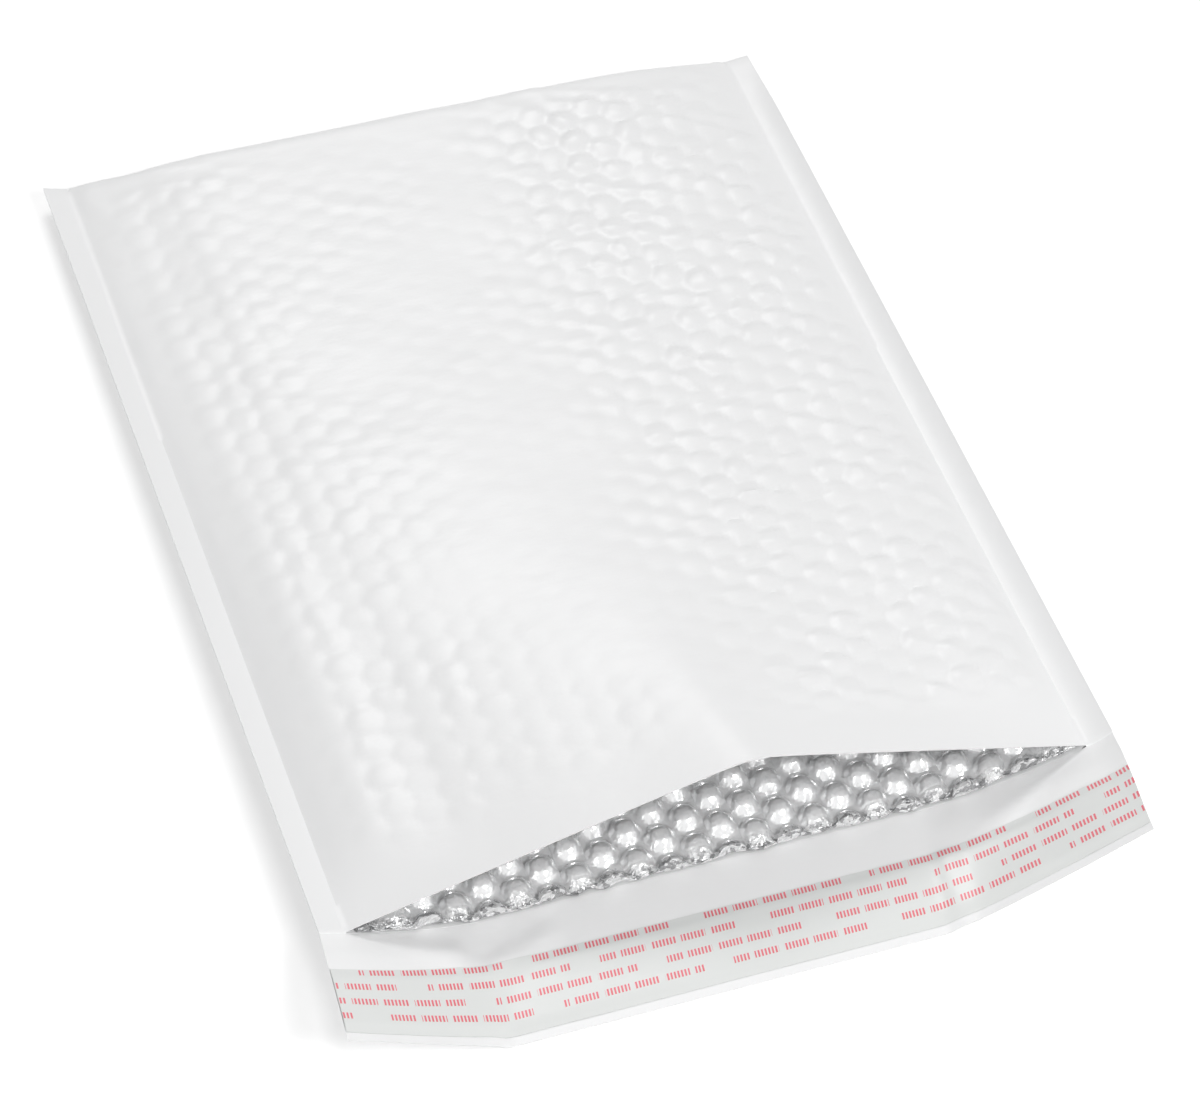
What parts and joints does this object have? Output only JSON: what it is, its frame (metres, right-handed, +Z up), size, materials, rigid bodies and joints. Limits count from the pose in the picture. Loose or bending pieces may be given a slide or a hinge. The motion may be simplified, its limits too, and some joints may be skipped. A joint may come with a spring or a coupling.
{
  "type": "padded envelope",
  "caption": "White film mailing envelope lined with bubble film, lying flat with its mouth propped open and a release liner over the adhesive on its flap.",
  "frame": {"origin": "on the surface the envelope lies on, under the middle of its box", "axes": "+Y along the envelope from the flap to the closed fold, +X across it, +Z up from the surface"},
  "size_m": [0.216, 0.317, 0.0339],
  "materials": {
    "outer_film": "white polyethylene film, satin",
    "bubble_liner": "clear glossy bubble film",
    "adhesive_strip": "clear pressure-sensitive hot melt, tacky",
    "release_liner": "silicone-coated liner, satin, with small red marks"
  },
  "bodies": {
    "root": {"outer_film": "outer_film", "bubble_liner": "bubble_liner", "adhesive_strip": "adhesive_strip", "release_liner": "release_liner"}
  },
  "joints": []
}
